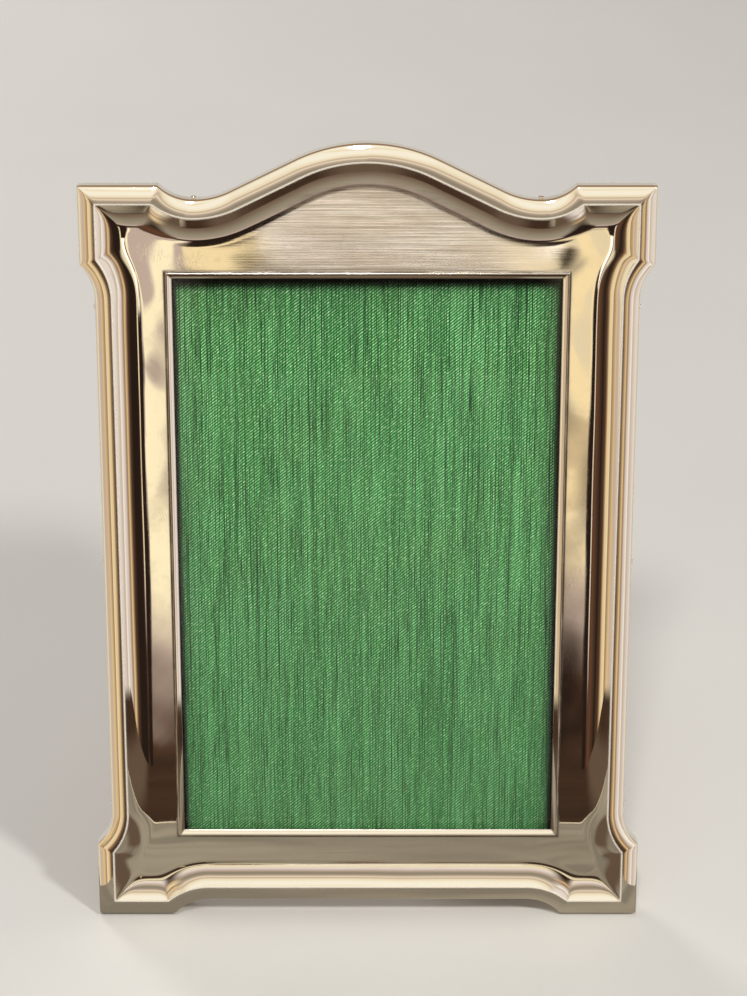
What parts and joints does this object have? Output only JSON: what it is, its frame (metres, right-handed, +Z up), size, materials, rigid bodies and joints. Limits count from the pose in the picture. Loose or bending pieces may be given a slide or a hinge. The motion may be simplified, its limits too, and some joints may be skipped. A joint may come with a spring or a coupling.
{
  "type": "easel photograph frame",
  "caption": "Standing photograph frame: pressed silver front with arched top, square ears and feet, glass over green cloth, oak back and folding easel strut with a brass stay.",
  "frame": {"origin": "middle of the base, on the surface that the feet and the strut's toe stand on", "axes": "+Z up, front towards -Y, +X to the viewer's right; the face leans back by 13 degrees"},
  "size_m": [0.141, 0.0728, 0.1993],
  "materials": {
    "silver": "polished, warm, with fine scratches",
    "oak": "waxed, satin",
    "brass": "aged, satin",
    "glass": "clear, polished",
    "fabric": "slubbed satin weave",
    "card": "matt"
  },
  "bodies": {
    "frame": {"silver_front": "silver", "pin_top_right": "silver", "pin_ear_right": "silver", "pin_side_right": "silver", "pin_foot_right": "silver", "pin_bottom_right": "silver", "pin_top_left": "silver", "pin_ear_left": "silver", "pin_side_left": "silver", "pin_foot_left": "silver", "pin_bottom_left": "silver", "oak_carcass": "oak", "back_door": "oak", "glass_pane": "glass", "fabric_panel": "fabric", "backing_card": "card", "turn_button_screw_upper_right": "brass", "turn_button_screw_lower_right": "brass", "turn_button_screw_upper_left": "brass", "turn_button_screw_lower_left": "brass", "hinge_leaf_door": "brass", "hinge_pin": "brass", "hinge_screw_door_left": "brass", "hinge_screw_door_right": "brass", "stay_keeper": "brass", "keeper_screw_upper": "brass", "keeper_screw_lower": "brass"},
    "strut": {"easel_strut": "oak", "hinge_leaf_strut": "brass", "hinge_screw_strut_left": "brass", "hinge_screw_strut_right": "brass", "stay_bracket": "brass", "bracket_screw_upper": "brass", "bracket_screw_lower": "brass", "stay_pivot_pin": "brass"},
    "stay": {"stay_link": "brass", "stay_slide_pin": "brass"},
    "button_upper_right": {"turn_button_upper_right": "brass"},
    "button_lower_right": {"turn_button_lower_right": "brass"},
    "button_upper_left": {"turn_button_upper_left": "brass"},
    "button_lower_left": {"turn_button_lower_left": "brass"}
  },
  "joints": [
    {"name": "strut_fold", "type": "hinge", "parent": "frame", "child": "strut", "pos_m": [0, 0.01028, 0.14407], "axis": [1, 0, 0], "range_deg": [-20.5, 0]},
    {"name": "stay_turn", "type": "hinge", "parent": "strut", "child": "stay", "pos_m": [0, 0.01732, 0.09963], "axis": [1, 0, 0], "range_deg": [0, 41]},
    {"name": "button_upper_right_turn", "type": "hinge", "parent": "frame", "child": "button_upper_right", "pos_m": [0.0586, 0.00463, 0.13737], "axis": [0, 0.9744, -0.225], "continuous": true},
    {"name": "button_lower_right_turn", "type": "hinge", "parent": "frame", "child": "button_lower_right", "pos_m": [0.0586, -0.01562, 0.04968], "axis": [0, 0.9744, -0.225], "continuous": true},
    {"name": "button_upper_left_turn", "type": "hinge", "parent": "frame", "child": "button_upper_left", "pos_m": [-0.0586, 0.00463, 0.13737], "axis": [0, 0.9744, -0.225], "continuous": true},
    {"name": "button_lower_left_turn", "type": "hinge", "parent": "frame", "child": "button_lower_left", "pos_m": [-0.0586, -0.01562, 0.04968], "axis": [0, 0.9744, -0.225], "continuous": true}
  ],
  "couplings": [
    {"joint": "stay_turn", "follows": "strut_fold", "ratio": -2}
  ]
}
